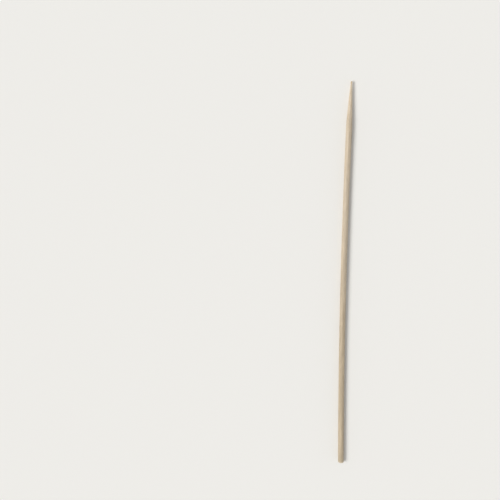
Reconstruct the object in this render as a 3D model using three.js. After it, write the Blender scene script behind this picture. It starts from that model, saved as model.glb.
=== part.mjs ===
// Bamboo skewer: one turned stick with a long ground point and a square-sawn butt.
//
// The stick lies on its side along Y, with its point towards +Y. It touches the ground at z = 0,
// and the origin is on the ground under the middle of the stick. A stick split from a culm is
// never quite straight: this one is bowed to the -X side, and the bow lies flat in the XY plane,
// which is how a bowed stick comes to rest. Units are millimetres, +Z is up.

import * as THREE from 'three';

// Driving dimensions.
const length = 200; // from the sawn butt to the very tip
const diameter = 3.0; // of the shaft
const pointLength = 20; // from the corner between shaft and point to the very tip
const shoulderLength = 6; // the stretch in which the shaft eases into the point
const tipDiameter = 0.8; // of the ball that ends the point
const buttEdgeRadius = 0.3; // the sawn edge, worn round by tumbling
const bow = 1.2; // how far the middle stands off the straight line from butt to tip

// Finish of the bare, unvarnished wood.
const straw = 0xc9b48f;
const satinRoughness = 0.62;

// Fineness of the faceted surface.
const sidesAround = 32;
const edgeSteps = 4;
const shaftSteps = 28;
const shoulderSteps = 5;
const pointSteps = 8;
const tipSteps = 5;

const shaftRadius = diameter / 2;
const tipRadius = tipDiameter / 2;
const buttY = -length / 2;
const tipY = length / 2;

// Half the stick's outline as [radius, y] points, from the middle of the butt to the tip.
function outline() {
  const tipBall = new THREE.Vector2(0, tipY - tipRadius);
  const corner = new THREE.Vector2(shaftRadius, tipY - pointLength);

  // The point's side is the straight line from the corner that just touches the tip's ball.
  const toCorner = corner.clone().sub(tipBall);
  const touchAngle = Math.atan2(toCorner.y, toCorner.x) + Math.acos(tipRadius / toCorner.length());
  const touch = new THREE.Vector2(Math.cos(touchAngle), Math.sin(touchAngle));
  touch.multiplyScalar(tipRadius).add(tipBall);

  const shoulderStart = new THREE.Vector2(shaftRadius, corner.y - shoulderLength / 2);
  const alongPoint = touch.clone().sub(corner).setLength(shoulderLength / 2);
  const shoulderEnd = corner.clone().add(alongPoint);

  const edgeMiddle = new THREE.Vector2(shaftRadius - buttEdgeRadius, buttY + buttEdgeRadius);
  const edge = new THREE.EllipseCurve(
    edgeMiddle.x, edgeMiddle.y, buttEdgeRadius, buttEdgeRadius, -Math.PI / 2, 0,
  );
  const shaft = new THREE.LineCurve(new THREE.Vector2(shaftRadius, edgeMiddle.y), shoulderStart);
  const shoulder = new THREE.QuadraticBezierCurve(shoulderStart, corner, shoulderEnd);
  const point = new THREE.LineCurve(shoulderEnd, touch);
  const tip = new THREE.EllipseCurve(
    tipBall.x, tipBall.y, tipRadius, tipRadius, touchAngle, Math.PI / 2,
  );

  // Each stretch starts where the one before it ends, so its own first point is left out.
  return [
    new THREE.Vector2(0, buttY),
    ...edge.getPoints(edgeSteps),
    ...shaft.getPoints(shaftSteps).slice(1),
    ...shoulder.getPoints(shoulderSteps).slice(1),
    ...point.getPoints(pointSteps).slice(1),
    ...tip.getPoints(tipSteps).slice(1, -1),
    new THREE.Vector2(0, tipY),
  ];
}

// Shifts each cross-section towards -X along a parabola that is zero at both ends, so the butt's
// face stays square to the line from butt to tip.
function bend(geometry) {
  const position = geometry.getAttribute('position');
  for (let i = 0; i < position.count; i += 1) {
    const fromMiddle = position.getY(i) / (length / 2);
    const shift = bow * (1 - fromMiddle * fromMiddle);
    position.setX(i, position.getX(i) - shift);
  }
  geometry.computeVertexNormals();
}

function makeSkewer() {
  const geometry = new THREE.LatheGeometry(outline(), sidesAround);
  bend(geometry);
  const bamboo = new THREE.MeshStandardMaterial({
    color: straw,
    roughness: satinRoughness,
    metalness: 0,
  });
  const skewer = new THREE.Mesh(geometry, bamboo);
  skewer.name = 'skewer';
  skewer.position.set(bow / 2, 0, shaftRadius);
  return skewer;
}

const part = new THREE.Group();
part.name = 'bamboo_skewer';
part.add(makeSkewer());

export default part;
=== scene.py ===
"""A bamboo skewer, dressed: one stick, split from a culm, turned round and ground to a point.

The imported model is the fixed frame: the stick lies along Y with its point towards +Y, on a floor
at z = 0, and its bow lies flat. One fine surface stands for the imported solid. It is worked out
from the same outline, with the fibre relief, tool marks and torn grain of the real wood. The wood
itself is a solid: bundles of fibre run through the stick, and each cut shows them its own way, as
streaks along the side, as slivers on the point and as dots on the sawn butt.

Lengths in the wood and on the stick are in millimetres. Blender's own lengths are in metres.
"""

import logging
import math
from collections.abc import Sequence
from dataclasses import dataclass, fields, replace
from enum import Enum
from typing import TypeVar

import bpy
import numpy as np
from bpy.types import NodeSocket as Socket
from mathutils import Matrix, Vector


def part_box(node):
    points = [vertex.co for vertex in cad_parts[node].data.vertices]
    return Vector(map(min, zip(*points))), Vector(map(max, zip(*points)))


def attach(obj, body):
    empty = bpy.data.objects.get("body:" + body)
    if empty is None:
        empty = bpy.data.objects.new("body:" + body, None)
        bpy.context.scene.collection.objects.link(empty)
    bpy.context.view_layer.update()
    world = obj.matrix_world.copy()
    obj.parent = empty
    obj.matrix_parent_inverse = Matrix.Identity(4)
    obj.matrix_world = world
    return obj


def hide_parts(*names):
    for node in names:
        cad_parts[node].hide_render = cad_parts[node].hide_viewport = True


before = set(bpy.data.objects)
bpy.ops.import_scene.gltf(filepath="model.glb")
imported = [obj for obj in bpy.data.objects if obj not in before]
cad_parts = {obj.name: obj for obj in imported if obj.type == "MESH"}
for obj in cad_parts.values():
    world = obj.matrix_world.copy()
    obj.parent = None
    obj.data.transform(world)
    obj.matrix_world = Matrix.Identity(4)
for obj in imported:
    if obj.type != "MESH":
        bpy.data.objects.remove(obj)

# A millimetre in metres.
MM = 0.001

# The imported model's own names for the stick and for what it rides on.
NODE = "skewer"
BODY = "root"

# The dressed stick's name.
PIECE = "bamboo_stick"

# The screen's curve from seen to linear light: straight in the darkest tones, a power above them.
CURVE_STRAIGHT_TO = 0.04045
CURVE_SLOPE = 12.92
CURVE_LIFT = 0.055
CURVE_POWER = 2.4

log = logging.getLogger("skewer")

# Any dataclass whose fields are all arrays with one row for each place.
Arrays = TypeVar("Arrays")


def joined(parts: Sequence[Arrays]) -> Arrays:
    """Puts dataclasses of arrays one after the other, field by field.

    Args:
        parts: Instances of one such dataclass.

    Returns:
        One instance of it, which holds all their rows in order.
    """
    kind = type(parts[0])
    return kind(*(np.concatenate([getattr(part, field.name) for part in parts]) for field in fields(kind)))


def ease(x: np.ndarray) -> np.ndarray:
    """Rises smoothly from 0 to 1 as x goes from 0 to 1, and stays flat outside.

    Args:
        x: Any array.

    Returns:
        3 t^2 - 2 t^3 with t the clipped x.
    """
    t = np.clip(x, 0.0, 1.0)
    return t * t * (3.0 - 2.0 * t)


@dataclass(frozen=True)
class Waves:
    """A seeded, smooth, random function of one length, made of a few sine waves.

    Attributes:
        seed: Sets the waves' phases.
        shortest: Shortest wave, mm.
        longest: Longest wave, mm.
        count: How many waves are summed.
    """

    seed: int
    shortest: float
    longest: float
    count: int

    def at(self, place: np.ndarray) -> np.ndarray:
        """Sums the sine waves at each place and divides by the root of their number.

        Args:
            place: Places along the length, mm.

        Returns:
            Values mostly between -1 and 1, of the same shape.
        """
        rng = np.random.default_rng(self.seed)
        lengths = np.geomspace(self.shortest, self.longest, self.count)
        phases = rng.uniform(0.0, 2.0 * math.pi, self.count)
        angles = 2.0 * math.pi * np.asarray(place)[..., None] / lengths + phases
        return np.sin(angles).sum(-1) / math.sqrt(self.count)

    def share(self, place: np.ndarray) -> np.ndarray:
        """Gives the same waves as a value from 0 to 1."""
        return 0.5 + 0.5 * self.at(place).clip(-1.0, 1.0)


class Cut(Enum):
    """How a stretch of the stick's outline was made, which decides its marks."""

    SAWN = "the butt's face"
    TUMBLED = "the butt's rounded edge"
    TURNED = "the shaft"
    GROUND = "the shoulder and the point"
    BLUNT = "the ball of the tip"


@dataclass(frozen=True)
class Rings:
    """The outline sampled as rings, from the butt's face to the tip, with its two ends left out.

    Attributes:
        radius: Each ring's distance from the axis, mm.
        along: Each ring's place along Y, mm, 0 in the middle of the stick.
        out_radial: The outward direction's share away from the axis.
        out_along: The outward direction's share towards the tip.
        cut: How each ring's stretch was made.
    """

    radius: np.ndarray
    along: np.ndarray
    out_radial: np.ndarray
    out_along: np.ndarray
    cut: np.ndarray

    @classmethod
    def stretch(cls, cut: Cut, places: np.ndarray, out: np.ndarray) -> "Rings":
        """Makes the rings of one stretch of the outline.

        Args:
            cut: How it was made.
            places: Rows of radius and place along Y, mm.
            out: The outward direction's two shares, in one row or in a row for each place.

        Returns:
            Its rings.
        """
        return cls(*places.T, *np.broadcast_to(out, places.shape).T, np.full(len(places), cut.name))

    @classmethod
    def arc(cls, cut: Cut, centre: np.ndarray, radius: float, turns: np.ndarray) -> "Rings":
        """Makes the rings of a round stretch, whose outward direction turns with it.

        Args:
            cut: How it was made.
            centre: Radius and place along Y of its centre, mm.
            radius: Its radius, mm.
            turns: Its angles, from straight away from the axis towards the tip.

        Returns:
            Its rings.
        """
        out = np.column_stack([np.cos(turns), np.sin(turns)])
        return cls.stretch(cut, centre + radius * out, out)

    def made_by(self, *cuts: Cut) -> np.ndarray:
        """Says which rings were made in one of the given ways."""
        return np.isin(self.cut, [c.name for c in cuts])

    def cut_end(self) -> np.ndarray:
        """Says how squarely each ring cuts the fibres across: only the face, its edge and the tip do."""
        return np.abs(self.out_along) * self.made_by(Cut.SAWN, Cut.TUMBLED, Cut.BLUNT)

    def travelled(self, tip: float) -> np.ndarray:
        """Gives the length of the outline from its first ring to each ring and to the tip.

        Args:
            tip: The tip's place along Y, mm.

        Returns:
            Lengths, mm, one more than there are rings.
        """
        steps = np.hypot(np.diff(self.radius, append=0.0), np.diff(self.along, append=tip))
        return np.concatenate([[0.0], np.cumsum(steps)])


@dataclass(frozen=True)
class PointSide:
    """The straight side of the point. Its places are radius and place along Y, mm.

    Attributes:
        corner: Where its line meets the shaft's.
        middle: The middle of the tip's ball.
        touch: Where it meets that ball.
        turn: How far its outward direction turns from the shaft's towards the tip, radians.
        out: That outward direction.
    """

    corner: np.ndarray
    middle: np.ndarray
    touch: np.ndarray
    turn: float
    out: np.ndarray


@dataclass(frozen=True)
class StickShape:
    """The stick's sizes, in millimetres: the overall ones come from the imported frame.

    Attributes:
        length: From the sawn butt to the very tip.
        radius: Of the shaft.
        bow: How far the middle stands off the line from butt to tip.
        point_length: From the corner between shaft and point to the very tip.
        shoulder_length: The stretch in which the shaft eases into the point.
        tip_radius: Of the ball that ends the point.
        butt_edge_radius: Of the sawn edge, worn round by tumbling.
        shaft_step: Spacing of the rings along the shaft.
        point_step: Spacing of the rings along the shoulder and the point.
        face_step: Spacing of the rings on the butt's face.
        arc_steps: Rings on each of the two round stretches.
        columns: Points round each ring.
        tip_aside: How far the point was ground off centre, towards +X and +Z.
    """

    length: float
    radius: float
    bow: float
    point_length: float = 20.0
    shoulder_length: float = 6.0
    tip_radius: float = 0.4
    butt_edge_radius: float = 0.3
    shaft_step: float = 0.55
    point_step: float = 0.22
    face_step: float = 0.09
    arc_steps: int = 8
    columns: int = 200
    tip_aside: tuple[float, float] = (0.07, -0.04)

    @classmethod
    def from_frame(cls) -> "StickShape":
        """Reads length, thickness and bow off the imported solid's box.

        Returns:
            The sizes, with the others as they stand here.
        """
        low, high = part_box(NODE)
        across, length, thick = (high - low) / MM
        return cls(length=length, radius=thick / 2.0, bow=across - thick)

    def point_side(self) -> PointSide:
        """Works out the line from the corner of shaft and point that just touches the tip's ball.

        Seen from the ball's middle, it touches at the corner's own angle plus the arc cosine of
        the ball's radius over the corner's distance.

        Returns:
            The side.
        """
        tip, ball = self.length / 2.0, self.tip_radius
        corner = np.array([self.radius, tip - self.point_length])
        middle = np.array([0.0, tip - ball])
        across, along = corner - middle
        turn = math.atan2(along, across) + math.acos(ball / math.hypot(across, along))
        out = np.array([math.cos(turn), math.sin(turn)])
        return PointSide(corner=corner, middle=middle, touch=middle + ball * out, turn=turn, out=out)

    def ground_shares(self, length: float) -> np.ndarray:
        """Divides a ground stretch of this length, in mm, into even shares: a column that ends at 1."""
        return np.linspace(0.0, 1.0, round(length / self.point_step) + 1)[1:, None]

    def rings(self) -> Rings:
        """Samples the outline: face, edge arc, shaft, shoulder curve, straight point, tip arc.

        The shoulder is the parabola that touches the shaft and the point on both sides of their
        corner, so it has no kink.

        Returns:
            The rings, without the middle of the face and the very tip.
        """
        butt, edge, quarter = -self.length / 2.0, self.butt_edge_radius, math.pi / 2.0
        side = self.point_side()
        onward = (side.touch - side.corner) / math.hypot(*(side.touch - side.corner))
        start = side.corner - [0.0, self.shoulder_length / 2.0]
        end = side.corner + onward * self.shoulder_length / 2.0

        face = np.arange(self.face_step, self.radius - edge, self.face_step)
        shaft_count = round((start[1] - butt - edge) / self.shaft_step)
        shaft = np.linspace(butt + edge, start[1], shaft_count + 1)[1:]
        t = self.ground_shares(self.shoulder_length)
        shoulder = (1 - t) ** 2 * start + 2 * t * (1 - t) * side.corner + t**2 * end
        point = end + self.ground_shares(self.point_length) * (side.touch - end)

        away, back, lean = np.array([1.0, 0.0]), np.array([0.0, -1.0]), ease(t)
        return joined([
            Rings.stretch(Cut.SAWN, np.column_stack([face, np.full_like(face, butt)]), back),
            Rings.arc(Cut.TUMBLED, np.array([self.radius - edge, butt + edge]), edge,
                      np.linspace(-quarter, 0.0, self.arc_steps + 1)),
            Rings.stretch(Cut.TURNED, np.column_stack([np.full_like(shaft, self.radius), shaft]), away),
            Rings.stretch(Cut.GROUND, shoulder, (1 - lean) * away + lean * side.out),
            Rings.stretch(Cut.GROUND, point, side.out),
            Rings.arc(Cut.BLUNT, side.middle, self.tip_radius,
                      np.linspace(side.turn, quarter, self.arc_steps + 1)[1:-1]),
        ])

    def shift(self, along: np.ndarray) -> np.ndarray:
        """Gives how far each cross-section is pushed towards -X by the bow.

        Args:
            along: Places along Y, mm.

        Returns:
            A parabola, mm, that is 0 at both ends and the bow in the middle.
        """
        return self.bow * (1.0 - (2.0 * along / self.length) ** 2)

    def off_centre(self, along: np.ndarray) -> np.ndarray:
        """Gives how far the point's sections stand off the axis.

        Args:
            along: Places along Y, mm.

        Returns:
            Rows of x, y, z, mm, that ease from 0 where the point starts to tip_aside at the tip.
        """
        share = ease((along - self.length / 2.0 + self.point_length) / self.point_length)
        return share[:, None] * [self.tip_aside[0], 0.0, self.tip_aside[1]]

    def place(self, points: np.ndarray) -> np.ndarray:
        """Bows straight points and lays them on the floor of the frame.

        Args:
            points: Rows of x, y, z about the straight axis, mm.

        Returns:
            The same points in the frame, in metres.
        """
        moved = points.copy()
        moved[:, 0] += self.bow / 2.0 - self.shift(points[:, 1])
        moved[:, 2] += self.radius
        return moved * MM


@dataclass(frozen=True)
class Wood:
    """What the wood is like at each point of the surface.

    Attributes:
        place: Rows of across, along, depth in the culm, mm.
        fibre: How far each point lies inside a bundle of fibre, 0 to 1.
        stain: How dark that bundle makes it, 0 to 1.
        torn: How far each point lies in torn grain, 0 to 1.
    """

    place: np.ndarray
    fibre: np.ndarray
    stain: np.ndarray
    torn: np.ndarray


@dataclass(frozen=True)
class Culm:
    """The wood that the stick was split from: bundles of fibre in a softer ground.

    Its own coordinates are in millimetres: across, along the grain, and depth, which grows from
    the culm's inside to its skin. Bundles are thin and close near the skin, thick and far apart
    inside.

    Attributes:
        skin_side_deg: Which way round the stick the culm's skin lay, from +Z towards +X.
        runout_across: How far the grain drifts sideways for each millimetre along.
        runout_depth: How far it drifts towards the skin for each millimetre along.
        sway_across: A slow sideways wander of the grain.
        sway_depth: A slow wander of the grain in depth.
        sway: How far both wanders reach, mm.
        spacing: Distance between bundles at the stick's axis, mm.
        row_pitch: Distance between rows of bundles, as a share of their spacing.
        crowding: Share by which the spacing shrinks for each millimetre towards the skin.
        jitter: How far a bundle stands off its even place, as a share of the spacing.
        slimness: A bundle's width over its depth.
        fullness: A bundle's depth over the spacing.
        rim: How soft a bundle's rim is, as a share of its half width.
        palest: Darkness of the palest bundle, where 1 is the darkest.
        reach: How far from the axis bundles are made, mm.
        pale_bias: Power that the random darkness is raised to, so that most bundles are pale.
        seed: Sets the places and the darkness of the bundles.
    """

    skin_side_deg: float = 62.0
    runout_across: float = 0.0085
    runout_depth: float = 0.004
    sway_across: Waves = Waves(seed=12, shortest=35.0, longest=160.0, count=4)
    sway_depth: Waves = Waves(seed=13, shortest=45.0, longest=140.0, count=4)
    sway: float = 0.05
    spacing: float = 0.5
    row_pitch: float = 0.9
    crowding: float = 0.17
    jitter: float = 0.3
    slimness: float = 0.62
    fullness: float = 0.66
    rim: float = 0.7
    palest: float = 0.15
    reach: float = 2.7
    pale_bias: float = 2.0
    seed: int = 11

    def coordinates(self, points: np.ndarray) -> np.ndarray:
        """Gives each point's place in the culm.

        The stick is turned about its axis to the culm's skin, and then slides across and towards
        the skin by the grain's runout and a slow, small wander.

        Args:
            points: Rows of x, y, z about the straight axis, mm.

        Returns:
            Rows of across, along, depth, mm.
        """
        x, y, z = points.T
        turn = math.radians(self.skin_side_deg)
        across = x * math.cos(turn) - z * math.sin(turn)
        across += self.runout_across * y + self.sway * self.sway_across.at(y)
        depth = x * math.sin(turn) + z * math.cos(turn)
        depth += self.runout_depth * y + self.sway * self.sway_depth.at(y)
        return np.stack([across, y, depth], axis=1)

    def bundles(self) -> tuple[np.ndarray, np.ndarray, np.ndarray]:
        """Sets out the bundles in staggered rows that crowd towards the skin.

        Rows lie at even steps of a stretched depth, log(1 + c s) / c, whose own steps shrink as
        the spacing does. Within a row the bundles are one local spacing apart, every other row is
        moved by half of it, and each bundle is then moved by a random part of the spacing.

        Returns:
            Rows of across and depth, each bundle's local spacing, mm, and its darkness, 0 to 1.
        """
        rng = np.random.default_rng(self.seed)
        step = self.row_pitch * self.spacing
        lowest, highest = np.expm1(self.crowding * self.reach * np.array([-1.0, 1.0])) / self.crowding
        closest = self.spacing * math.exp(-self.crowding * self.reach)
        most = math.ceil(self.reach / closest)
        rows = np.arange(math.floor(lowest / step), math.ceil(highest / step) + 1)
        rank, row = np.meshgrid(np.arange(-most, most + 1), rows)
        depth = np.log1p(self.crowding * step * row) / self.crowding
        local = self.spacing * np.exp(-self.crowding * depth)
        across = (rank + 0.5 * (row % 2)) * local
        places = np.stack([across.ravel(), depth.ravel()], axis=1)
        local = local.ravel()
        places += rng.uniform(-self.jitter, self.jitter, places.shape) * local[:, None]
        darkness = self.palest + (1.0 - self.palest) * rng.random(len(local)) ** self.pale_bias
        near = np.hypot(*places.T) < self.reach
        return places[near], local[near], darkness[near]

    def at(self, points: np.ndarray) -> Wood:
        """Says where each point lies in the culm and how far inside a bundle.

        A bundle is an ellipse, longer towards the skin. Its value is 1 inside, one half on its
        rim and 0 outside, and eases between them. Where two bundles meet, the larger value holds.

        Args:
            points: Rows of x, y, z about the straight axis, mm.

        Returns:
            The wood there, with no torn grain yet.
        """
        place = self.coordinates(points)
        centres, local, darkness = self.bundles()
        half_depth = 0.5 * self.fullness * local
        half_width = self.slimness * half_depth
        fibre, stain = np.zeros(len(points)), np.zeros(len(points))
        bundles = zip(centres, half_width, half_depth, darkness, strict=True)
        for (across, depth), wide, deep, dark in bundles:
            gap = np.hypot((place[:, 0] - across) / wide, (place[:, 2] - depth) / deep)
            inside = ease((1.0 - gap) / self.rim + 0.5)
            fibre = np.maximum(fibre, inside)
            stain = np.maximum(stain, dark * inside)
        return Wood(place=place, fibre=fibre, stain=stain, torn=np.zeros(len(points)))


@dataclass(frozen=True)
class FineRidges:
    """A random pattern that changes across the grain and not along it.

    Attributes:
        finest: Shortest wave, mm.
        coarsest: Longest wave, mm.
        count: How many waves are summed.
        seed: Sets the waves' directions and phases.
    """

    finest: float = 0.2
    coarsest: float = 0.6
    count: int = 14
    seed: int = 18

    def share(self, place: np.ndarray) -> np.ndarray:
        """Sums plane waves that lie across the grain in random directions.

        Args:
            place: Rows of across, along, depth, mm.

        Returns:
            Values from 0 to 1.
        """
        rng = np.random.default_rng(self.seed)
        lengths = np.geomspace(self.finest, self.coarsest, self.count)
        turns = rng.uniform(0.0, math.pi, self.count)
        phases = rng.uniform(0.0, 2.0 * math.pi, self.count)
        waves = np.stack([np.cos(turns), np.sin(turns)]) * 2.0 * math.pi / lengths
        total = np.cos(place[:, [0, 2]] @ waves + phases).sum(1) / math.sqrt(self.count)
        return 0.5 + 0.5 * total.clip(-1.0, 1.0)


@dataclass(frozen=True)
class TornGrain:
    """Strips of fibre that were torn out as the stick was turned.

    Attributes:
        count: How many strips there are.
        first: Where the first one starts, as a share of the length from the middle.
        last: Where the last one starts, measured the same way.
        scatter: How far a start may stand off its even place, mm.
        span: Shortest and longest strip, mm.
        width: Narrowest and widest strip, mm.
        share: Shallowest and deepest strip, as a share of the full depth.
        broken: Share of a strip in which its broken end drops to full depth.
        fading: Share of a strip in which it runs out.
        seed: Sets where the strips lie and how large they are.
    """

    count: int = 16
    first: float = -0.47
    last: float = 0.37
    scatter: float = 5.0
    span: tuple[float, float] = (2.0, 9.0)
    width: tuple[float, float] = (0.08, 0.16)
    share: tuple[float, float] = (0.35, 1.0)
    broken: float = 0.1
    fading: float = 0.75
    seed: int = 5

    def deepest(self, angle: np.ndarray, along: np.ndarray, shape: StickShape, drift: float) -> np.ndarray:
        """Says how deep each place lies in a strip of torn-out fibre.

        Each strip is a narrow dish that follows the grain: a rounded valley across it, steep at
        one end where the fibre broke and shallow at the other where it ran out.

        Args:
            angle: Angle round the stick.
            along: Place along Y, mm.
            shape: The stick's sizes.
            drift: How far the grain drifts sideways for each millimetre along.

        Returns:
            Values from 0 to 1, 1 at the bottom of the deepest strip.
        """
        rng = np.random.default_rng(self.seed)
        starts = np.linspace(self.first, self.last, self.count) * shape.length
        starts += rng.uniform(-self.scatter, self.scatter, self.count)
        turns = rng.uniform(0.0, 2.0 * math.pi, self.count)
        spans = rng.uniform(*self.span, self.count)
        widths = rng.uniform(*self.width, self.count)
        shares = rng.uniform(*self.share, self.count)
        deepest = np.zeros_like(along)
        for start, turn, span, width, share in zip(starts, turns, spans, widths, shares, strict=True):
            onward = (along - start) / span
            aside = (angle - turn + math.pi) % (2.0 * math.pi) - math.pi
            off = (aside * shape.radius - drift * (along - start)) / width
            reach = ease(onward / self.broken) * ease((1.0 - onward) / self.fading)
            deepest = np.maximum(deepest, share * np.exp(-off * off) * reach)
        return deepest


@dataclass(frozen=True)
class ToolMarks:
    """What turning, grinding, sawing and drying left on the surface, as depths in millimetres.

    Attributes:
        oval: How much flatter the shaft is one way than the other.
        oval_turn_deg: Which way round the shaft is full.
        oval_twist: How far that turns for each millimetre along, radians.
        swell: How much the thickness wanders along the stick.
        swells: That wander.
        soft_ground: How far the soft ground lies below the bundles on the side.
        ridge: Depth of the fine ridges along the grain.
        ridges: Those ridges.
        tear: Deepest torn grain.
        chatter: Depth of the grinding steps around the point.
        chatters: Those steps.
        chatter_lean: How far a step leans along the stick from one side to the other, mm.
        facet: Depth of the point's faint flats.
        facets: How many flats there are.
        facet_wander: How the flats wander round the point.
        saw: Depth of the saw's lines across the butt.
        saw_turn_deg: Which way the saw ran, from +X towards +Z.
        saws: Those lines.
        end_grain: How far the soft ground lies below the bundles on the cut ends.
    """

    oval: float = 0.035
    oval_turn_deg: float = 26.0
    oval_twist: float = 0.002
    swell: float = 0.02
    swells: Waves = Waves(seed=31, shortest=22.0, longest=120.0, count=5)
    soft_ground: float = 0.007
    ridge: float = 0.006
    ridges: FineRidges = FineRidges()
    tear: float = 0.05
    chatter: float = 0.01
    chatters: Waves = Waves(seed=32, shortest=0.9, longest=3.4, count=5)
    chatter_lean: float = 0.25
    facet: float = 0.022
    facets: int = 5
    facet_wander: Waves = Waves(seed=33, shortest=6.0, longest=18.0, count=3)
    saw: float = 0.02
    saw_turn_deg: float = 29.0
    saws: Waves = Waves(seed=34, shortest=0.22, longest=0.9, count=6)
    end_grain: float = 0.02

    def on_side(self, angle: np.ndarray, along: np.ndarray, wood: Wood) -> np.ndarray:
        """Adds up the oval, the swell, the soft ground, the fine ridges and the torn grain.

        Args:
            angle: Angle round the stick.
            along: Place along Y, mm.
            wood: The wood there.

        Returns:
            Depths, mm, 0 or more.
        """
        turned = angle - math.radians(self.oval_turn_deg) + self.oval_twist * along
        depth = self.oval * np.sin(turned) ** 2 + self.swell * self.swells.share(along)
        depth += self.soft_ground * (1.0 - wood.fibre) + self.ridge * self.ridges.share(wood.place)
        return depth + self.tear * wood.torn

    def on_point(self, angle: np.ndarray, along: np.ndarray) -> np.ndarray:
        """Adds up the grinding steps round the point and its faint flats.

        A flat is deepest in its middle, by the absolute cosine of half the flats' count times the
        angle, so that the edges between flats are the lines left standing.

        Args:
            angle: Angle round the stick.
            along: Place along Y, mm.

        Returns:
            Depths, mm, 0 or more.
        """
        steps = self.chatters.share(along + self.chatter_lean * np.sin(angle))
        flats = np.abs(np.cos(0.5 * self.facets * angle + self.facet_wander.at(along)))
        return self.chatter * steps + self.facet * flats

    def on_butt(self, points: np.ndarray) -> np.ndarray:
        """Gives the depth of the saw's lines, which run straight across the butt.

        Args:
            points: Rows of x, y, z about the straight axis, mm.

        Returns:
            Depths, mm, 0 or more.
        """
        turn = math.radians(self.saw_turn_deg)
        stroke = points[:, 0] * math.cos(turn) + points[:, 2] * math.sin(turn)
        return self.saw * self.saws.share(stroke)

    def on_end(self, wood: Wood) -> np.ndarray:
        """Gives how far the soft ground lies below the cut ends of the bundles, mm."""
        return self.end_grain * (1.0 - wood.fibre)


class NodeSheet:
    """A node tree being built, with short calls for adding and joining nodes."""

    def __init__(self, tree: bpy.types.NodeTree) -> None:
        """Starts on an empty tree."""
        self.tree = tree
        self.tree.nodes.clear()

    def feed(self, socket: Socket, value: Socket | float | tuple[float, ...]) -> None:
        """Joins an input to another socket, or sets its own value.

        Args:
            socket: The input.
            value: An output socket, a number, or a vector or colour.
        """
        if isinstance(value, Socket):
            self.tree.links.new(value, socket)
        else:
            socket.default_value = value

    def add(self, kind: str, settings: dict[str, object] | None = None,
            **inputs: Socket | float) -> bpy.types.Node:
        """Adds a node.

        Args:
            kind: The node's type name.
            settings: Properties of the node itself.
            inputs: Values or output sockets for its inputs. An underscore in a name stands for a
                space, and a name such as at_1 means the input of that number.

        Returns:
            The node.
        """
        node = self.tree.nodes.new(kind)
        for name, value in (settings or {}).items():
            setattr(node, name, value)
        for name, value in inputs.items():
            key = int(name[3:]) if name.startswith("at_") else name.replace("_", " ")
            self.feed(node.inputs[key], value)
        return node

    def attribute(self, name: str, output: str = "Fac") -> Socket:
        """Reads one of the mesh's own attributes."""
        return self.add("ShaderNodeAttribute", {"attribute_name": name}).outputs[output]

    def math(self, operation: str, first: Socket | float, second: Socket | float,
             clamp: bool = False) -> Socket:
        """Adds one sum of two values and gives its output socket."""
        settings = {"operation": operation, "use_clamp": clamp}
        return self.add("ShaderNodeMath", settings, at_0=first, at_1=second).outputs[0]

    def scaled(self, vector: Socket, sizes: tuple[float, float, float]) -> Socket:
        """Multiplies the three parts of a vector or a colour by three sizes."""
        node = self.add("ShaderNodeVectorMath", {"operation": "MULTIPLY"}, at_0=vector, at_1=sizes)
        return node.outputs[0]

    def noise(self, vector: Socket, detail: float, roughness: float = 0.5) -> Socket:
        """Adds a noise of unit scale and gives its value, about 0.5 on average."""
        node = self.add("ShaderNodeTexNoise", {"noise_dimensions": "3D"},
                        Vector=vector, Scale=1.0, Detail=detail, Roughness=roughness)
        return node.outputs["Fac"]

    def between(self, value: Socket, low: float, high: float) -> Socket:
        """Eases a value from 0 at low to 1 at high, and gives its output socket."""
        node = self.add("ShaderNodeMapRange", {"interpolation_type": "SMOOTHSTEP"},
                        Value=value, From_Min=low, From_Max=high)
        return node.outputs[0]

    def mixed(self, share: Socket, first: Socket | float, second: Socket | float) -> Socket:
        """Mixes two values by a share and gives the output socket."""
        node = self.add("ShaderNodeMix", {"data_type": "FLOAT"}, Factor=share, at_2=first, at_3=second)
        return node.outputs[0]

    def blend(self, share: Socket, first: Socket | tuple, second: Socket | tuple) -> Socket:
        """Mixes two colours by a share.

        Args:
            share: 0 for the first colour, 1 for the second.
            first: A colour.
            second: A colour.

        Returns:
            The mixed colour's output socket.
        """
        node = self.add("ShaderNodeMix", {"data_type": "RGBA"})
        sockets = [node.inputs[0], *(s for s in node.inputs if s.type == "RGBA")]
        for socket, value in zip(sockets, (share, first, second), strict=True):
            self.feed(socket, value)
        return next(s for s in node.outputs if s.type == "RGBA")


def colour(red: int, green: int, blue: int) -> tuple[float, float, float, float]:
    """Turns a colour as seen on a screen, 0 to 255, into the linear one that shaders use.

    Args:
        red: Red.
        green: Green.
        blue: Blue.

    Returns:
        Linear red, green, blue and an alpha of 1.
    """
    seen = np.array([red, green, blue]) / 255.0
    curved = ((seen + CURVE_LIFT) / (1.0 + CURVE_LIFT)) ** CURVE_POWER
    linear = np.where(seen <= CURVE_STRAIGHT_TO, seen / CURVE_SLOPE, curved)
    return (*linear.tolist(), 1.0)


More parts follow.
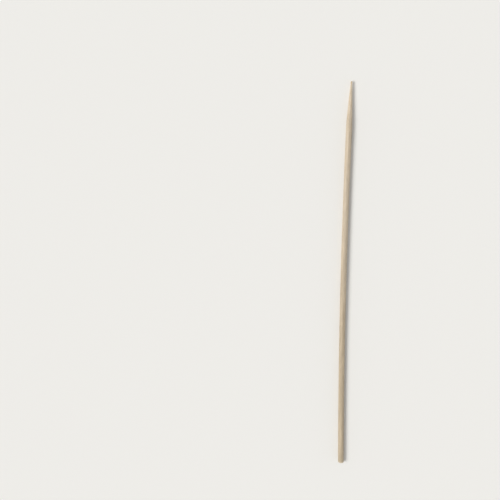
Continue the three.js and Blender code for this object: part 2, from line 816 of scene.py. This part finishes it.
@dataclass(frozen=True)
class LengthwiseGrain:
    """The shared grain effect: a streaky noise that follows the fibres.

    Its inputs are a place in the culm in millimetres, the streaks' width and length in
    millimetres, and their contrast. It puts out one value about 1, lower in the dark streaks.

    Attributes:
        detail: How many finer noises are added to the first one.
        roughness: How strong each is next to the one before it.
        average: The noise's average, taken off so that the streaks lie evenly about it.
    """

    detail: float = 3.0
    roughness: float = 0.6
    average: float = 0.5

    def build(self) -> bpy.types.NodeTree:
        """Builds the node group.

        Returns:
            The group.
        """
        group = bpy.data.node_groups.new("lengthwise grain", "ShaderNodeTree")
        sheet = NodeSheet(group)
        group.interface.new_socket("Place", in_out="INPUT", socket_type="NodeSocketVector")
        for name in ("Width", "Length", "Contrast"):
            group.interface.new_socket(name, in_out="INPUT", socket_type="NodeSocketFloat")
        group.interface.new_socket("Value", in_out="OUTPUT", socket_type="NodeSocketFloat")
        given = sheet.add("NodeGroupInput").outputs
        parts = sheet.add("ShaderNodeSeparateXYZ", at_0=given["Place"]).outputs
        across = sheet.math("DIVIDE", parts["X"], given["Width"])
        along = sheet.math("DIVIDE", parts["Y"], given["Length"])
        depth = sheet.math("DIVIDE", parts["Z"], given["Width"])
        place = sheet.add("ShaderNodeCombineXYZ", X=across, Y=along, Z=depth).outputs[0]
        noise = sheet.noise(place, self.detail, self.roughness)
        swing = sheet.math("SUBTRACT", noise, self.average)
        scaled = sheet.math("MULTIPLY", swing, given["Contrast"])
        sheet.add("NodeGroupOutput", Value=sheet.math("ADD", scaled, 1.0))
        return group


@dataclass(frozen=True)
class Grain:
    """One size of the lengthwise grain.

    Attributes:
        width: Width of its streaks, mm.
        length: Their length, mm.
        contrast: How much lighter and darker they are.
    """

    width: float
    length: float
    contrast: float

    def placed(self, sheet: NodeSheet, group: bpy.types.NodeTree, culm: Socket) -> Socket:
        """Places the shared grain group at this size and gives its value.

        Args:
            sheet: The material's nodes.
            group: The shared grain group.
            culm: The place in the culm, mm.

        Returns:
            A value about 1.
        """
        node = sheet.add("ShaderNodeGroup", {"node_tree": group}, Place=culm, Width=self.width,
                         Length=self.length, Contrast=self.contrast)
        return node.outputs["Value"]


@dataclass(frozen=True)
class Readings:
    """What the finish reads at each point of the surface.

    Attributes:
        culm: Place in the culm, mm.
        along: Place along the stick, mm.
        fibre: How far inside a bundle of fibre.
        stain: How dark that bundle makes it.
        torn: How far in torn grain.
        cut_end: How squarely the fibres are cut across.
        hairs: The finest grain, about 1.
        vessel: How far in an opened vessel.
    """

    culm: Socket
    along: Socket
    fibre: Socket
    stain: Socket
    torn: Socket
    cut_end: Socket
    hairs: Socket
    vessel: Socket


@dataclass(frozen=True)
class BareBamboo:
    """The bare, unvarnished wood: pale ground, tan bundles, fine grain and thin brown vessels.

    Attributes:
        ground: Colour of the soft ground.
        bundle: Colour of the darkest fibre bundles.
        vessel: Colour of the opened vessels and of torn grain.
        aged: What the colour multiplies by where it grows darker and tanner towards the butt.
        scorched: What it multiplies by on the very tip, which the grinding browned.
        worn: Colour of the painted highlight on the butt's rounded edge, standing in for the light it
            catches.
        bundle_share: How strongly the bundles show on the side.
        end_share: How strongly they show on the sawn butt.
        vessel_share: How strongly the vessels show.
        torn_share: How strongly torn grain shows.
        end_shade: How much darker the soft ground is where it is cut across.
        yellowing: Where along the stick the darker, tanner tone starts and is full, mm.
        scorching: Where along the stick the scorching starts and is full, mm.
        grinding: Where along the stick the point's painted light starts and is full, mm.
        fresh_lift: How much paler the point is painted, as painted light for the brighter light that falls
            on it.
        wearing: Where along the stick the painted highlight on the butt's edge starts and is full, mm.
        worn_share: How strongly that painted highlight shows.
        broad: Slow, broad changes of tone.
        patches: Short patches, lighter and darker.
        streaks: Streaks as wide as a bundle.
        hairs: Single fibres.
        vessel_width: Width of a vessel, mm.
        vessel_length: How far a vessel stays open on the side, mm.
        vessel_noise: Values of the noise between which a vessel opens.
        stray_vessels: How strongly vessels show outside the bundles.
        rough: Roughness of the ground.
        polish: How much smoother the bundles are.
        torn_rough: How much rougher torn grain is.
        end_rough: How much rougher the sawn butt is.
        groove: Height of the grain's bump, mm.
        bump: Strength of that bump.
        hair_height: How much the single fibres raise it, as a share of the groove.
        bundle_height: How much a bundle raises it.
        vessel_depth: How much a vessel sinks it.
    """

    ground: tuple[int, int, int] = (197, 182, 160)
    bundle: tuple[int, int, int] = (163, 138, 103)
    vessel: tuple[int, int, int] = (122, 90, 58)
    aged: tuple[float, float, float] = (0.857, 0.835, 0.774)
    scorched: tuple[float, float, float] = (0.93, 0.86, 0.72)
    worn: tuple[int, int, int] = (222, 208, 184)
    bundle_share: float = 0.6
    end_share: float = 0.8
    vessel_share: float = 0.45
    torn_share: float = 0.3
    end_shade: float = 0.14
    yellowing: tuple[float, float] = (55.0, -65.0)
    scorching: tuple[float, float] = (98.3, 99.5)
    grinding: tuple[float, float] = (79.0, 92.0)
    fresh_lift: float = 0.18
    wearing: tuple[float, float] = (-99.0, -99.7)
    worn_share: float = 0.6
    broad: Grain = Grain(width=0.9, length=26.0, contrast=0.46)
    patches: Grain = Grain(width=0.8, length=5.0, contrast=0.42)
    streaks: Grain = Grain(width=0.2, length=9.0, contrast=0.5)
    hairs: Grain = Grain(width=0.045, length=5.0, contrast=0.44)
    vessel_width: float = 0.1
    vessel_length: float = 7.0
    vessel_noise: tuple[float, float] = (0.6, 0.7)
    stray_vessels: float = 0.25
    rough: float = 0.6
    polish: float = 0.1
    torn_rough: float = 0.2
    end_rough: float = 0.15
    groove: float = 0.026
    bump: float = 0.6
    hair_height: float = 0.7
    bundle_height: float = 0.3
    vessel_depth: float = 0.6

    def read(self, sheet: NodeSheet, group: bpy.types.NodeTree) -> Readings:
        """Reads the piece's own attributes, and places the finest grain and the opened vessels.

        A vessel is where a noise, long along the grain and thin across it, is at its highest.

        Args:
            sheet: The material's nodes.
            group: The shared grain group.

        Returns:
            The readings.
        """
        culm, fibre = sheet.attribute("culm", "Vector"), sheet.attribute("fibre")
        thin = (1.0 / self.vessel_width, 1.0 / self.vessel_length, 1.0 / self.vessel_width)
        opened = sheet.between(sheet.noise(sheet.scaled(culm, thin), detail=1.0), *self.vessel_noise)
        return Readings(
            culm=culm,
            along=sheet.add("ShaderNodeSeparateXYZ", at_0=culm).outputs["Y"],
            fibre=fibre,
            stain=sheet.attribute("stain"),
            torn=sheet.attribute("torn"),
            cut_end=sheet.attribute("cut_end"),
            hairs=self.hairs.placed(sheet, group, culm),
            vessel=sheet.math("MULTIPLY", opened, sheet.mixed(fibre, self.stray_vessels, 1.0)),
        )

    def tint(self, sheet: NodeSheet, at: Readings) -> Socket:
        """Colours the ground, the bundles, the vessels and torn grain, darkens them towards the butt,
        scorches the tip and paints a highlight on the butt's edge.

        Args:
            sheet: The material's nodes.
            at: What the finish reads at each point.

        Returns:
            A colour.
        """
        on_side = sheet.math("MULTIPLY", at.stain, self.bundle_share)
        on_end = sheet.math("MULTIPLY", at.fibre, self.end_share)
        in_bundle = sheet.mixed(at.cut_end, on_side, on_end)
        tint = sheet.blend(in_bundle, colour(*self.ground), colour(*self.bundle))
        browned = sheet.math("ADD", sheet.math("MULTIPLY", at.vessel, self.vessel_share),
                             sheet.math("MULTIPLY", at.torn, self.torn_share), clamp=True)
        tint = sheet.blend(browned, tint, colour(*self.vessel))
        # Darker and tanner towards the butt, then browned on the very tip.
        for stretch, shares in ((self.yellowing, self.aged), (self.scorching, self.scorched)):
            tint = sheet.blend(sheet.between(at.along, *stretch), tint, sheet.scaled(tint, shares))
        # Painted highlight: the butt's rounded edge, off its face, is painted in a pale highlight colour
        # for the light it catches.
        off_face = sheet.math("SUBTRACT", 1.0, at.cut_end)
        rim = sheet.math("MULTIPLY", sheet.between(at.along, *self.wearing), off_face)
        return sheet.blend(sheet.math("MULTIPLY", rim, self.worn_share), tint, colour(*self.worn))

    def tone(self, sheet: NodeSheet, group: bpy.types.NodeTree, at: Readings) -> Socket:
        """Multiplies every size of grain, the shade of the soft cut ends and the painted light that lifts
        the point.

        Args:
            sheet: The material's nodes.
            group: The shared grain group.
            at: What the finish reads at each point.

        Returns:
            A value about 1.
        """
        soft_end = sheet.math("MULTIPLY", at.cut_end, sheet.math("SUBTRACT", 1.0, at.fibre))
        shade = sheet.mixed(soft_end, 1.0, 1.0 - self.end_shade)
        # Painted light: from the shoulder to the tip the point is painted paler, for the brighter light
        # that falls on it.
        lit_point = sheet.mixed(sheet.between(at.along, *self.grinding), 1.0, 1.0 + self.fresh_lift)
        tone = sheet.math("MULTIPLY", at.hairs, sheet.math("MULTIPLY", shade, lit_point))
        for size in (self.broad, self.patches, self.streaks):
            tone = sheet.math("MULTIPLY", tone, size.placed(sheet, group, at.culm))
        return tone

    def roughness(self, sheet: NodeSheet, at: Readings) -> Socket:
        """Makes the bundles a little smoother, and torn grain and the cut ends rougher.

        Args:
            sheet: The material's nodes.
            at: What the finish reads at each point.

        Returns:
            A value from 0 to 1.
        """
        rough = sheet.mixed(at.fibre, self.rough, self.rough - self.polish)
        rough = sheet.math("ADD", rough, sheet.math("MULTIPLY", at.torn, self.torn_rough))
        return sheet.math("ADD", rough, sheet.math("MULTIPLY", at.cut_end, self.end_rough), clamp=True)

    def height(self, sheet: NodeSheet, at: Readings) -> Socket:
        """Raises the single fibres and the bundles, and sinks the opened vessels.

        Args:
            sheet: The material's nodes.
            at: What the finish reads at each point.

        Returns:
            A height as a share of the groove.
        """
        raised = sheet.math("ADD", sheet.math("MULTIPLY", at.hairs, self.hair_height),
                            sheet.math("MULTIPLY", at.fibre, self.bundle_height))
        return sheet.math("SUBTRACT", raised, sheet.math("MULTIPLY", at.vessel, self.vessel_depth))

    def material(self) -> bpy.types.Material:
        """Builds the finish.

        Returns:
            The material.
        """
        material = bpy.data.materials.new("bare bamboo")
        material.use_nodes = True
        sheet = NodeSheet(material.node_tree)
        group = LengthwiseGrain().build()
        at = self.read(sheet, group)
        wood = sheet.add("ShaderNodeVectorMath", {"operation": "SCALE"}, at_0=self.tint(sheet, at),
                         Scale=self.tone(sheet, group, at))
        bump = sheet.add("ShaderNodeBump", Height=self.height(sheet, at), Strength=self.bump,
                         Distance=self.groove * MM)
        shader = sheet.add("ShaderNodeBsdfPrincipled", Base_Color=wood.outputs[0],
                           Roughness=self.roughness(sheet, at), Normal=bump.outputs[0])
        sheet.add("ShaderNodeOutputMaterial", Surface=shader.outputs[0])
        return material


@dataclass(frozen=True)
class FlatMap:
    """How the surface is laid out flat: the side in strips, and the butt's face as a disc.

    A strip runs once round the stick, and its height follows the length of the outline that it
    holds. The strips stand side by side, and the disc lies at the end of their row.

    Attributes:
        name: The map's name.
        strips: How many strips the side is cut into along its length.
        strip_width: Width of a strip's place in the map.
        margin: Space round each piece.
        slack: How much taller a strip's place is than its even share of the length.
    """

    name: str = "OFBake"
    strips: int = 4
    strip_width: float = 0.205
    margin: float = 0.008
    slack: float = 1.02

    def disc(self, share: np.ndarray, around: np.ndarray) -> np.ndarray:
        """Places rings of the butt's face round the middle of the disc.

        Args:
            share: Each ring's radius as a share of the face's.
            around: Places round a ring, 0 to 1.

        Returns:
            u and v for each ring and each place round it.
        """
        room = 1.0 - self.strips * self.strip_width
        middle = np.array([1.0 - room / 2.0, room / 2.0])
        turn = 2.0 * math.pi * around
        rim = np.stack([np.sin(turn), np.cos(turn)], axis=1)
        return middle + (room / 2.0 - self.margin) * share[:, None, None] * rim

    def side(self, strip: np.ndarray, height: np.ndarray, around: np.ndarray) -> np.ndarray:
        """Places rings of the side, each at its height in its strip.

        Args:
            strip: Number of each ring's strip.
            height: Each ring's height above the strip's first one, in the map.
            around: Places round a ring, 0 to 1.

        Returns:
            u and v for each ring and each place round it.
        """
        width = self.strip_width - 2.0 * self.margin
        u = self.margin + self.strip_width * strip[:, None] + width * around
        v = self.margin + np.repeat(height[:, None], len(around), axis=1)
        return np.stack([u, v], axis=-1)

    def corners(self, rings: Rings, columns: int, tip: float) -> np.ndarray:
        """Lays every face out, in the order of Skewer.faces().

        Each row of faces has a low and a high ring of its own, so that a strip can start where
        the one before it ends. The tip's fan is one more row, whose high ring is a peak.

        Args:
            rings: The rings between the two ends.
            columns: Points round each ring.
            tip: The tip's place along Y, mm.

        Returns:
            Rows of u and v, one for each corner of each face.
        """
        around = np.arange(columns + 1) / columns
        edge = int(rings.made_by(Cut.SAWN).sum())
        travelled = rings.travelled(tip)
        travelled -= travelled[edge]
        lower, higher = travelled[edge:-1], travelled[edge + 1:]
        strip = ((lower + higher) / 2.0 * self.strips / travelled[-1]).astype(int)
        start = lower[np.unique(strip, return_index=True)[1]][strip]
        scale = (1.0 - 2.0 * self.margin) * self.strips / (travelled[-1] * self.slack)
        face = self.disc(rings.radius[:edge + 1] / rings.radius[edge], around)
        low = np.concatenate([face[:-1], self.side(strip, (lower - start) * scale, around)])
        high = np.concatenate([face[1:], self.side(strip, (higher - start) * scale, around)])

        middle = self.disc(np.zeros(1), around)[0, 1:]
        peak = (high[-1, :-1] + high[-1, 1:]) / 2.0
        butt_fan = np.stack([middle, face[0, 1:], face[0, :-1]], axis=1)
        sides = np.stack([low[:, :-1], low[:, 1:], high[:, 1:], high[:, :-1]], axis=2)
        tip_fan = np.stack([peak, low[-1, :-1], low[-1, 1:]], axis=1)
        return np.concatenate([butt_fan.reshape(-1, 2), sides[:-1].reshape(-1, 2), tip_fan.reshape(-1, 2)])


@dataclass(frozen=True)
class Surface:
    """The finished surface, ready to become a mesh.

    Attributes:
        points: Rows of x, y, z in the frame, metres: the butt's middle, the rings, the tip.
        wood: The wood at each point.
        cut_end: How squarely the fibres are cut across at each point, 0 to 1.
    """

    points: np.ndarray
    wood: Wood
    cut_end: np.ndarray


@dataclass(frozen=True)
class Skewer:
    """The whole stick: it works out the fine surface, makes it a mesh and dresses it.

    Attributes:
        shape: The stick's sizes.
        culm: The wood that it was split from.
        marks: What the tools left on it.
        torn: The strips of fibre that were torn out.
        flat_map: How its surface is laid out flat.
        finish: The look of its bare wood.
    """

    shape: StickShape
    culm: Culm = Culm()
    marks: ToolMarks = ToolMarks()
    torn: TornGrain = TornGrain()
    flat_map: FlatMap = FlatMap()
    finish: BareBamboo = BareBamboo()

    def relief(self, rings: Rings, ring: np.ndarray, angle: np.ndarray, straight: np.ndarray,
               wood: Wood) -> np.ndarray:
        """Says how deep each point lies below the outline.

        The side's marks count by the outward direction's share away from the axis, and less where
        the point is thin. The cut ends' marks count by its share along the axis.

        Args:
            rings: The rings between the two ends.
            ring: Number of each point's ring.
            angle: Angle of each point round the stick.
            straight: Rows of x, y, z about the straight axis, mm.
            wood: The wood there.

        Returns:
            Depths, mm, never below 0, so that nothing stands outside the outline.
        """
        shape, marks, along = self.shape, self.marks, rings.along[ring]
        ground = ease((along - shape.length / 2.0 + shape.point_length) / shape.shoulder_length)
        side = marks.on_side(angle, along, wood) + ground * marks.on_point(angle, along)
        thin = (rings.radius[ring] / shape.radius).clip(shape.tip_radius / shape.radius, 1.0)
        end = marks.on_end(wood)
        end += rings.made_by(Cut.SAWN, Cut.TUMBLED)[ring] * marks.on_butt(straight)
        return rings.out_radial[ring].clip(0.0, 1.0) * thin * side + rings.cut_end()[ring] * end

    def surface(self, rings: Rings) -> Surface:
        """Works out every point of the stick as one array.

        A point is its ring's radius carried round the axis. Its relief is taken off along the
        outline's outward direction, the point's axis is bent a little off centre towards the tip,
        and the whole is bowed and laid down. The two ends are single points.

        Args:
            rings: The rings between the two ends.

        Returns:
            The surface.
        """
        shape, marks, n = self.shape, self.marks, self.shape.columns
        ring = np.repeat(np.arange(len(rings.radius)), n)
        angle = np.tile(np.arange(n) * 2.0 * math.pi / n, len(rings.radius))
        radius, along = rings.radius[ring], rings.along[ring]
        straight = np.stack([radius * np.sin(angle), along, radius * np.cos(angle)], axis=1)
        torn = self.torn.deepest(angle, along, shape, self.culm.runout_across)
        torn *= rings.made_by(Cut.TURNED, Cut.GROUND)[ring]
        wood = replace(self.culm.at(straight), torn=torn)
        depth = self.relief(rings, ring, angle, straight, wood)
        out = rings.out_radial[ring]
        outward = np.stack([out * np.sin(angle), rings.out_along[ring], out * np.cos(angle)], axis=1)

        butt, tip = np.array([[[0.0, -0.5, 0.0]], [[0.0, 0.5, 0.0]]]) * shape.length
        butt_wood, tip_wood = self.culm.at(butt), self.culm.at(tip)
        butt[:, 1] += marks.on_end(butt_wood) + marks.on_butt(butt)
        tip[:, 1] -= marks.on_end(tip_wood)
        points = np.concatenate([butt, straight - depth[:, None] * outward, tip])
        return Surface(
            points=shape.place(points + shape.off_centre(points[:, 1])),
            wood=joined([butt_wood, wood, tip_wood]),
            cut_end=np.concatenate([[1.0], rings.cut_end()[ring], [1.0]]),
        )

    def faces(self, rings: Rings) -> list[list[int]]:
        """Joins the points: a fan on the butt, four-sided faces between the rings, a fan on the tip.

        Args:
            rings: The rings between the two ends.

        Returns:
            Each face's point numbers, in the order in which the face looks outwards.
        """
        n, count = self.shape.columns, len(rings.radius)
        k = np.arange(n)
        after = (k + 1) % n
        base = 1 + n * np.arange(count - 1)[:, None]
        last = 1 + n * (count - 1)
        butt = np.stack([0 * k, 1 + after, 1 + k], axis=1)
        sides = np.stack([base + k, base + after, base + n + after, base + n + k], axis=-1)
        tip = np.stack([0 * k + last + n, last + k, last + after], axis=1)
        return butt.tolist() + sides.reshape(-1, 4).tolist() + tip.tolist()

    def build(self) -> bpy.types.Object:
        """Makes the mesh, gives it its attributes, map and finish, and ties it to the frame.

        Returns:
            The finished piece.
        """
        rings = self.shape.rings()
        surface = self.surface(rings)
        wood = surface.wood
        mesh = bpy.data.meshes.new(PIECE)
        mesh.from_pydata(surface.points.tolist(), [], self.faces(rings))
        mesh.polygons.foreach_set("use_smooth", np.ones(len(mesh.polygons), bool))
        shares = {"fibre": wood.fibre, "stain": wood.stain, "torn": wood.torn, "cut_end": surface.cut_end}
        for name, values in shares.items():
            kept = mesh.attributes.new(name, "FLOAT", "POINT")
            kept.data.foreach_set("value", values.astype(np.float32))
        culm = mesh.attributes.new("culm", "FLOAT_VECTOR", "POINT")
        culm.data.foreach_set("vector", wood.place.astype(np.float32).ravel())
        corners = self.flat_map.corners(rings, self.shape.columns, self.shape.length / 2.0)
        flat = mesh.uv_layers.new(name=self.flat_map.name)
        flat.data.foreach_set("uv", corners.astype(np.float32).ravel())
        mesh.materials.append(self.finish.material())
        mesh.update()
        piece = bpy.data.objects.new(PIECE, mesh)
        bpy.context.scene.collection.objects.link(piece)
        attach(piece, BODY)
        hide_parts(NODE)
        log.info("stick: %d points, %d faces", len(mesh.vertices), len(mesh.polygons))
        return piece


@dataclass(frozen=True)
class PaleFloor:
    """The plain pale floor that the stick lies on.

    Attributes:
        tone: Colour of the floor.
        half: Half its width, metres.
    """

    tone: tuple[int, int, int] = (236, 235, 232)
    half: float = 20.0

    def build(self) -> bpy.types.Object:
        """Makes the floor, one matt face at z = 0.

        Returns:
            The floor.
        """
        mesh = bpy.data.meshes.new("floor")
        h = self.half
        mesh.from_pydata([(-h, -h, 0.0), (h, -h, 0.0), (h, h, 0.0), (-h, h, 0.0)], [], [(0, 1, 2, 3)])
        material = bpy.data.materials.new("pale floor")
        material.use_nodes = True
        shader = material.node_tree.nodes["Principled BSDF"]
        shader.inputs["Base Color"].default_value = colour(*self.tone)
        shader.inputs["Roughness"].default_value = 1.0
        shader.inputs["Specular IOR Level"].default_value = 0.0
        mesh.materials.append(material)
        floor = bpy.data.objects.new("floor", mesh)
        bpy.context.scene.collection.objects.link(floor)
        return floor


@dataclass(frozen=True)
class SoftLight:
    """A broad, far soft box, which lights the whole floor evenly.

    Attributes:
        name: What it is for.
        bearing_deg: Where it stands round the stick, from +X towards +Y.
        height_deg: How high it stands above the floor.
        spread_deg: How wide it looks from the stick.
        strength: Its light on a surface that faces it, watts a square metre.
        tint: Its colour.
    """

    name: str
    bearing_deg: float
    height_deg: float
    spread_deg: float
    strength: float
    tint: tuple[float, float, float] = (1.0, 0.985, 0.96)

    def build(self) -> bpy.types.Object:
        """Makes the lamp and turns it towards the stick.

        Returns:
            The lamp.
        """
        lamp = bpy.data.lights.new(self.name, "SUN")
        lamp.angle = math.radians(self.spread_deg)
        lamp.energy = self.strength
        lamp.color = self.tint
        bearing, height = math.radians(self.bearing_deg), math.radians(self.height_deg)
        level = math.cos(height)
        away = Vector((math.cos(bearing) * level, math.sin(bearing) * level, math.sin(height)))
        holder = bpy.data.objects.new(self.name, lamp)
        holder.location = away
        holder.rotation_mode = "QUATERNION"
        holder.rotation_quaternion = away.to_track_quat("Z", "Y")
        bpy.context.scene.collection.objects.link(holder)
        return holder


# The key light comes from the left of the photograph's view, and a weak, low fill from the right.
KEY = SoftLight(name="key", bearing_deg=172.0, height_deg=50.0, spread_deg=32.0, strength=2.36)
FILL = SoftLight(name="fill", bearing_deg=-20.0, height_deg=16.0, spread_deg=70.0, strength=0.42)


@dataclass(frozen=True)
class PaleRoom:
    """The room's own light: as pale as the lit floor at the horizon, dimmer overhead.

    Attributes:
        horizon: Colour at the horizon, the one that the lit floor shows.
        overhead: Colour straight up.
        rise: Sine of the height above the horizon at which the overhead colour is reached.
    """

    horizon: tuple[int, int, int] = (239, 238, 234)
    overhead: tuple[int, int, int] = (166, 167, 168)
    rise: float = 0.4

    def build(self) -> bpy.types.World:
        """Makes the world: its colour eases with the height of the direction.

        Returns:
            The world.
        """
        world = bpy.data.worlds.new("pale room")
        world.use_nodes = True
        sheet = NodeSheet(world.node_tree)
        direction = sheet.add("ShaderNodeTexCoord").outputs["Generated"]
        up = sheet.add("ShaderNodeSeparateXYZ", at_0=direction).outputs["Z"]
        height = sheet.between(up, 0.0, self.rise)
        light = sheet.blend(height, colour(*self.horizon), colour(*self.overhead))
        background = sheet.add("ShaderNodeBackground", Color=light, Strength=1.0)
        sheet.add("ShaderNodeOutputWorld", Surface=background.outputs[0])
        bpy.context.scene.world = world
        return world


@dataclass(frozen=True)
class PhotoCamera:
    """The camera, at the photograph's viewing angle on the stick.

    The photograph looks down on an upright stick from the side of its point. Here the stick lies,
    so the same camera looks down on it with the point at the top of the picture.

    Attributes:
        frame_px: Width and height of the photograph.
        focal_px: Focal length, in pixels of that frame.
        pitch_deg: How far the line of sight is tipped off the square to the stick.
        middle_px: Where the stick's middle shows in the photograph, x and y.
        distance_mm: From the camera to the stick's middle.
        sensor_mm: Width of the camera's sensor.
        nearest_m: What lies nearer to the camera than this isn't drawn, metres.
    """

    frame_px: float = 500.0
    focal_px: float = 1118.0
    pitch_deg: float = 17.67
    middle_px: tuple[float, float] = (343.45, 281.95)
    distance_mm: float = 558.1
    sensor_mm: float = 36.0
    nearest_m: float = 0.01

    def build(self, shape: StickShape) -> bpy.types.Object:
        """Makes the camera and sets it as the scene's.

        Args:
            shape: The stick's sizes, for the place of its middle.

        Returns:
            The camera.
        """
        pitch = math.radians(self.pitch_deg)
        right = Vector((1.0, 0.0, 0.0))
        up = Vector((0.0, math.cos(pitch), -math.sin(pitch)))
        forward = Vector((0.0, -math.sin(pitch), -math.cos(pitch)))
        aside = (self.middle_px[0] - self.frame_px / 2.0) / self.focal_px
        above = (self.frame_px / 2.0 - self.middle_px[1]) / self.focal_px
        sight = (forward + aside * right + above * up).normalized()
        middle = Vector(shape.place(np.zeros((1, 3)))[0])
        lens = bpy.data.cameras.new("camera")
        lens.sensor_width = self.sensor_mm
        lens.lens = self.sensor_mm * self.focal_px / self.frame_px
        lens.clip_start = self.nearest_m
        camera = bpy.data.objects.new("camera", lens)
        turned = Matrix((right, up, -forward)).transposed().to_4x4()
        camera.matrix_world = Matrix.Translation(middle - sight * self.distance_mm * MM) @ turned
        bpy.context.scene.collection.objects.link(camera)
        bpy.context.scene.camera = camera
        return camera


def main() -> None:
    """Builds the camera, the stick and the studio."""
    logging.basicConfig(level=logging.INFO, format="%(name)s: %(message)s")
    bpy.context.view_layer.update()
    shape = StickShape.from_frame()
    log.info("frame: %.1f mm long, %.2f mm thick, bow %.2f mm", shape.length, 2 * shape.radius, shape.bow)
    PhotoCamera().build(shape)
    PaleFloor().build()
    for light in (KEY, FILL):
        light.build()
    PaleRoom().build()
    bpy.context.scene.view_settings.view_transform = "Standard"
    Skewer(shape).build()


if __name__ == "__main__":
    main()
